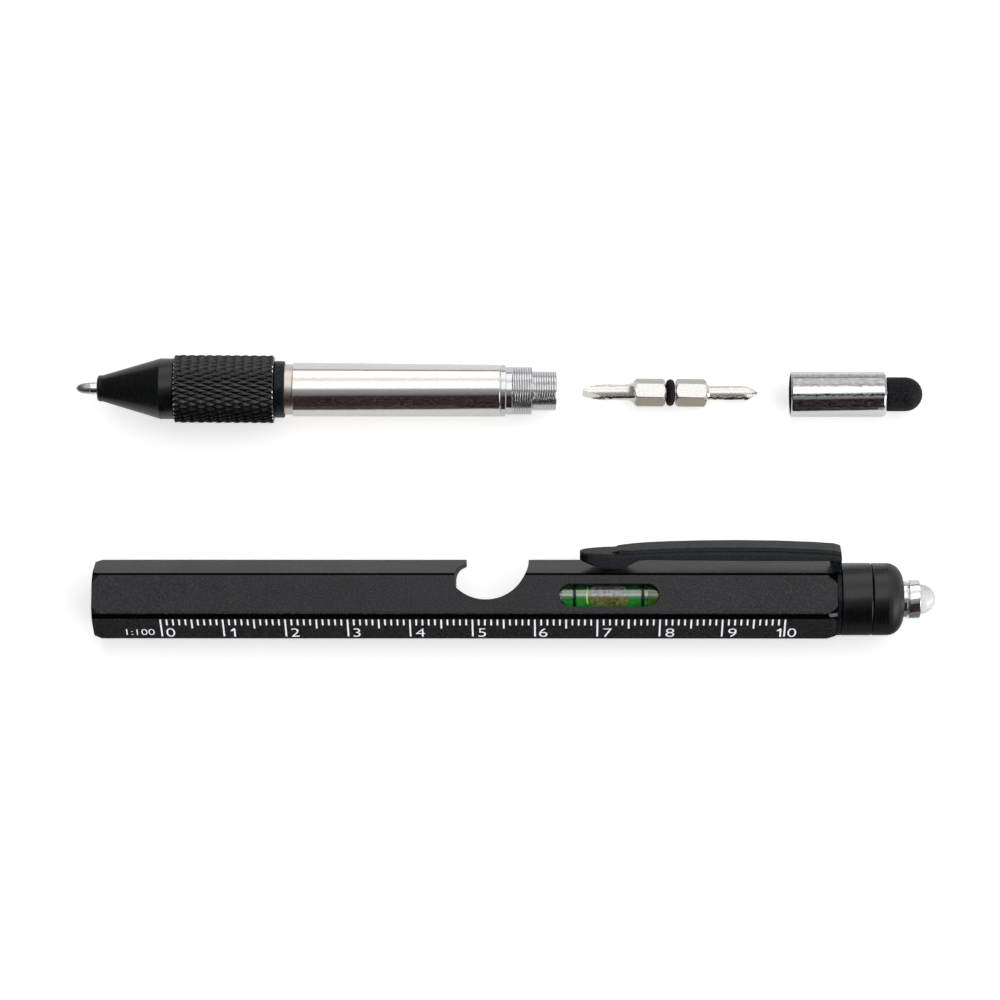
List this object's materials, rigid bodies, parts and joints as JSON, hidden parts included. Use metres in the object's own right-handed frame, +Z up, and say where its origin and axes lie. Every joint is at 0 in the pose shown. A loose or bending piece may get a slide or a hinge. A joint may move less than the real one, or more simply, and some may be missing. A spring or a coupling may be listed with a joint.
{
  "type": "multi tool pen",
  "caption": "Hexagonal pen barrel with ruler facets, spirit level, opener notch, clip and lamp head, laid out beside its ballpoint insert, double-ended driver bit and stylus cap.",
  "frame": {"origin": "on the table, under the middle of the laid-out set", "axes": "+X from the writing tip to the lamp, +Y from the barrel to the insert, +Z up from the table"},
  "size_m": [0.1392, 0.0464, 0.0126],
  "materials": {
    "anodised_barrel": "satin dark grey anodised",
    "anodised_head": "satin black anodised",
    "anodised_nose": "satin near-black anodised",
    "black_coated_steel": "satin black",
    "brushed_handle": "fine turned",
    "bright_chrome": "polished",
    "bit_nickel": "bead-blasted nickel plate",
    "cell_nickel": "smooth",
    "spring_steel": "drawn wire",
    "bush_brass": "turned",
    "refill_brass": "nickel silver, turned",
    "refill_plastic": "translucent",
    "ink": "black ink",
    "vial_clear": "clear",
    "level_liquid": "green liquid",
    "level_air": "air bubble",
    "lamp_lens": "clear lens",
    "circuit_board": "solder mask",
    "ring_rubber": "matt",
    "stylus_rubber": "matt, conductive"
  },
  "bodies": {
    "barrel": {"barrel_tube": "anodised_barrel", "thread_bush": "bush_brass", "vial_tube": "vial_clear", "vial_plug": "vial_clear", "vial_liquid": "level_liquid", "clip_ring": "black_coated_steel", "head_sleeve": "anodised_head", "battery_spring": "spring_steel", "battery_cell_1": "cell_nickel", "battery_cell_2": "cell_nickel", "battery_cell_3": "cell_nickel", "battery_cell_4": "cell_nickel"},
    "clip": {"clip_arm": "black_coated_steel"},
    "bubble": {"level_bubble": "level_air"},
    "light_module": {"contact_board": "circuit_board", "button_spring": "spring_steel"},
    "screw_cap": {"head_cap": "anodised_head"},
    "button": {"push_button": "bright_chrome", "led_bulb": "lamp_lens"},
    "insert": {"handle_tube": "brushed_handle", "grip_sleeve": "black_coated_steel", "bit_holder": "bright_chrome"},
    "refill": {"refill_tube": "refill_plastic", "refill_tip": "refill_brass", "ink_column": "ink"},
    "nose": {"nose_cone": "anodised_nose"},
    "ball": {"writing_ball": "spring_steel"},
    "bit": {"driver_bit": "bit_nickel", "bit_o_ring": "ring_rubber"},
    "stylus_cap": {"stylus_sleeve": "bright_chrome", "stylus_tip": "stylus_rubber"}
  },
  "joints": [
    {"name": "clip_flex", "type": "hinge", "parent": "barrel", "child": "clip", "pos_m": [0.0538, -0.01157, 0.00886], "axis": [0.0013, 0.5, -0.866], "range_deg": [0, 4], "stiffness_Nm_per_rad": 0.6},
    {"name": "bubble_travel", "type": "slide", "parent": "barrel", "child": "bubble", "axis": [1, 0, 0.0015], "range_m": [-0.0034, 0.0026], "stiffness_N_per_m": 0.02},
    {"name": "head_feed", "type": "slide", "parent": "barrel", "child": "light_module", "axis": [1, 0, 0.0015], "range_m": [0, 0.003]},
    {"name": "cap_unscrew", "type": "hinge", "parent": "light_module", "child": "screw_cap", "pos_m": [0.05921, -0.01676, 0.00587], "axis": [1, 0, 0.0015], "range_deg": [0, 1440]},
    {"name": "button_press", "type": "slide", "parent": "light_module", "child": "button", "axis": [-1, 0, -0.0015], "range_m": [0, 0.001], "stiffness_N_per_m": 300, "deforming": ["button_spring"]},
    {"name": "insert_lift", "type": "slide", "parent": "barrel", "child": "insert", "axis": [0, 0, 1], "range_m": [0, 0.03]},
    {"name": "refill_feed", "type": "slide", "parent": "insert", "child": "refill", "axis": [-0.9994, 0, 0.0343], "range_m": [0, 0.0045]},
    {"name": "nose_unscrew", "type": "hinge", "parent": "refill", "child": "nose", "pos_m": [-0.05374, 0.01764, 0.00608], "axis": [-0.9994, 0, 0.0343], "range_deg": [0, 2160]},
    {"name": "ball_roll", "type": "hinge", "parent": "refill", "child": "ball", "pos_m": [-0.06923, 0.01764, 0.00661], "axis": [0, 1, 0], "continuous": true},
    {"name": "bit_lift", "type": "slide", "parent": "barrel", "child": "bit", "axis": [0, 0, 1], "range_m": [0, 0.03]},
    {"name": "cap_lift", "type": "slide", "parent": "barrel", "child": "stylus_cap", "axis": [0, 0, 1], "range_m": [0, 0.03]}
  ],
  "couplings": [
    {"joint": "cap_unscrew", "follows": "head_feed", "rad_per_m": 8377.6},
    {"joint": "nose_unscrew", "follows": "refill_feed", "rad_per_m": 8377.6}
  ]
}
